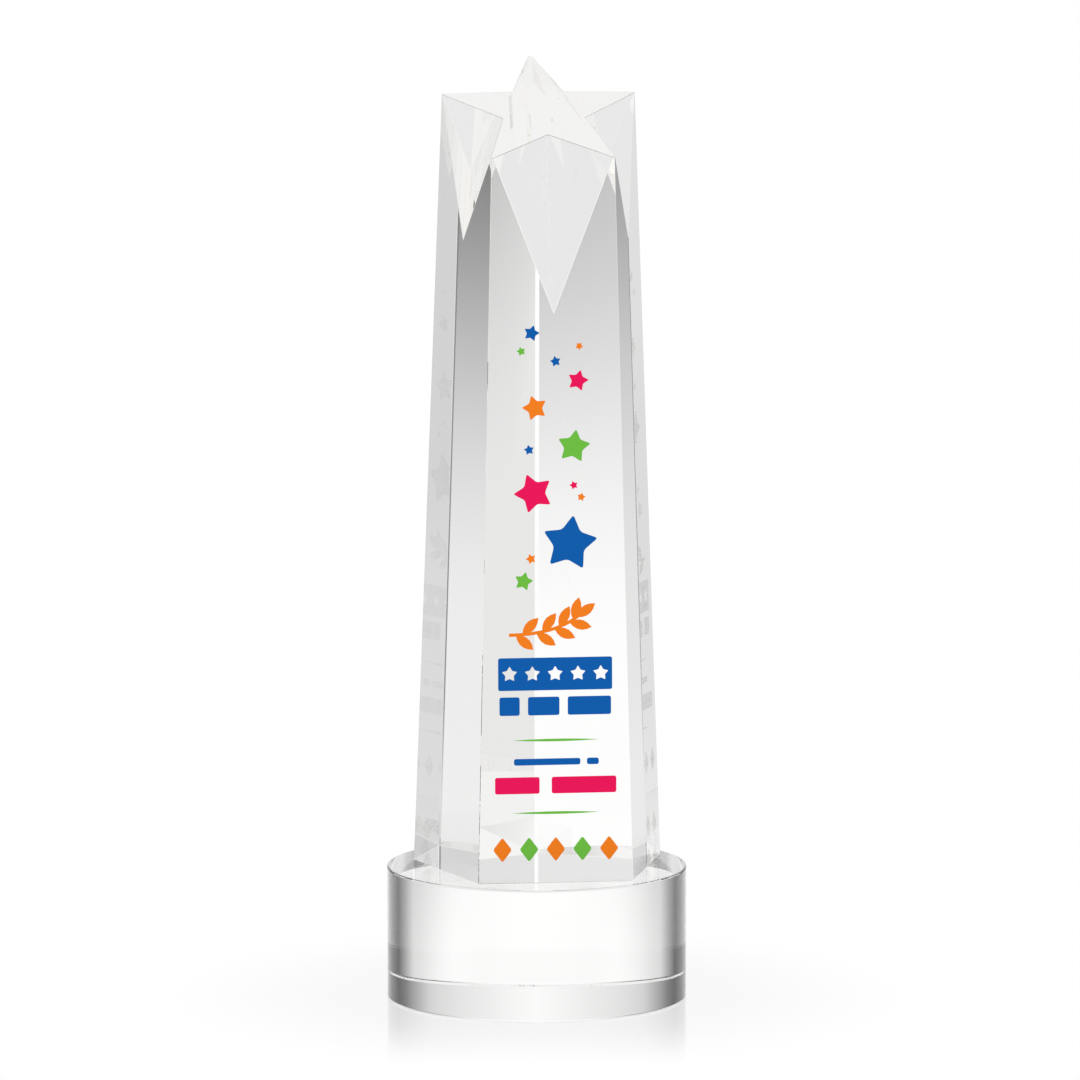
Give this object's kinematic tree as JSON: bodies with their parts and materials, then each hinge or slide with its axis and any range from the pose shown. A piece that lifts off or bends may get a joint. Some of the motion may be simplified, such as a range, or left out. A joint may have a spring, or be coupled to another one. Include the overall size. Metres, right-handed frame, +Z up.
{
  "type": "star trophy",
  "caption": "Clear crystal award: a tapering pentagonal tower with a slanted star-shaped top, printed in colour on its front face, bonded to a plain round crystal base.",
  "frame": {"origin": "centre of the round base's underside, on the surface that it stands on", "axes": "+Z up along the tower; the printed front face looks towards -Y, so +X is to the right of someone who reads it"},
  "size_m": [0.1016, 0.1016, 0.317],
  "materials": {
    "crystal": "polished optical crystal, clear and colourless, flat facets with fine polished edges",
    "adhesive": "clear cured adhesive, smooth",
    "ink_blue": "cured blue ink, slightly glossy",
    "ink_pink": "cured pink ink, slightly glossy",
    "ink_orange": "cured orange ink, slightly glossy",
    "ink_green": "cured green ink, slightly glossy"
  },
  "bodies": {
    "root": {"adhesive_film": "adhesive", "crystal_base": "crystal", "crystal_tower": "crystal", "print_banner": "ink_blue", "print_bar_fourth_left": "ink_pink", "print_bar_fourth_right": "ink_pink", "print_bar_second_left": "ink_blue", "print_bar_second_middle": "ink_blue", "print_bar_second_right": "ink_blue", "print_bar_third_long": "ink_blue", "print_bar_third_short": "ink_blue", "print_lozenge_1": "ink_orange", "print_lozenge_2": "ink_green", "print_lozenge_3": "ink_orange", "print_lozenge_4": "ink_green", "print_lozenge_5": "ink_orange", "print_rule_lower": "ink_green", "print_rule_upper": "ink_green", "print_sprig": "ink_orange", "print_star_01_blue": "ink_blue", "print_star_02_green": "ink_green", "print_star_03_orange": "ink_orange", "print_star_04_blue": "ink_blue", "print_star_05_pink": "ink_pink", "print_star_06_orange": "ink_orange", "print_star_07_blue": "ink_blue", "print_star_08_green": "ink_green", "print_star_09_pink": "ink_pink", "print_star_10_pink": "ink_pink", "print_star_11_orange": "ink_orange", "print_star_12_blue": "ink_blue", "print_star_13_orange": "ink_orange", "print_star_14_green": "ink_green"}
  },
  "joints": []
}
